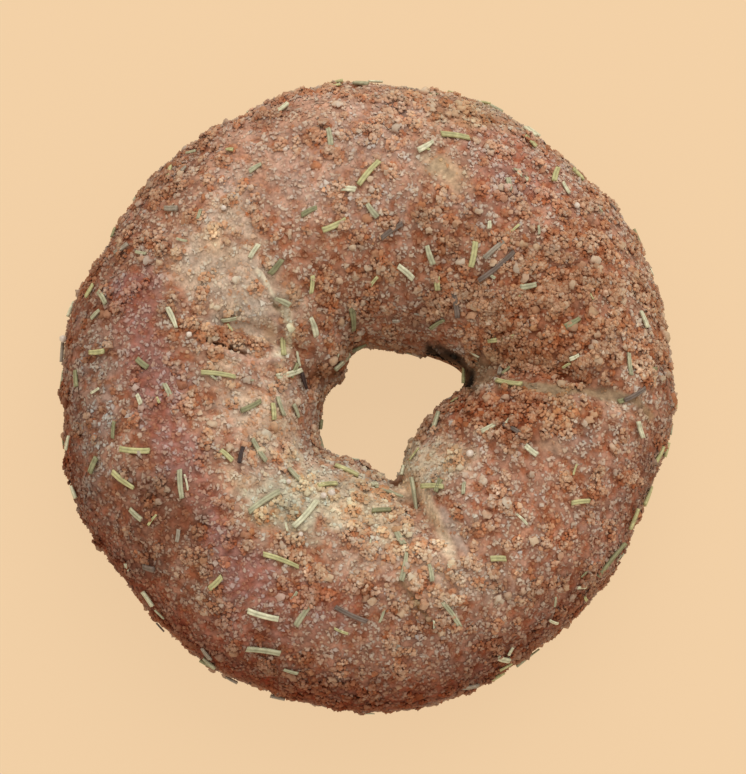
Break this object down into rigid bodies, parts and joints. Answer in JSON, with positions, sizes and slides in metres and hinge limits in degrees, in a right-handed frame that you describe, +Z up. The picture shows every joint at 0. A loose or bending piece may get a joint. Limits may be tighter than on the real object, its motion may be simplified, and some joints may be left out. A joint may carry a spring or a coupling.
{
  "type": "bagel",
  "caption": "Round baked bread ring with a small off-centre hole, its top crusted with coarse crumbs and cut rosemary needles.",
  "frame": {"origin": "on the table, under the middle of the bagel's outline", "axes": "+Z up through the hole, +Y away from the front, towards the lit edge, +X to the right as seen from the front and from above"},
  "size_m": [0.1097, 0.1132, 0.0374],
  "materials": {
    "crust": "matte baked crust, tan to red-brown, pale where torn",
    "crumbs": "matte, dry and granular, tan to brown",
    "rosemary": "matte dried herb, sage grey-green to brown",
    "salt": "pale translucent-looking grains"
  },
  "bodies": {
    "root": {"bagel": "crust"}
  },
  "joints": []
}
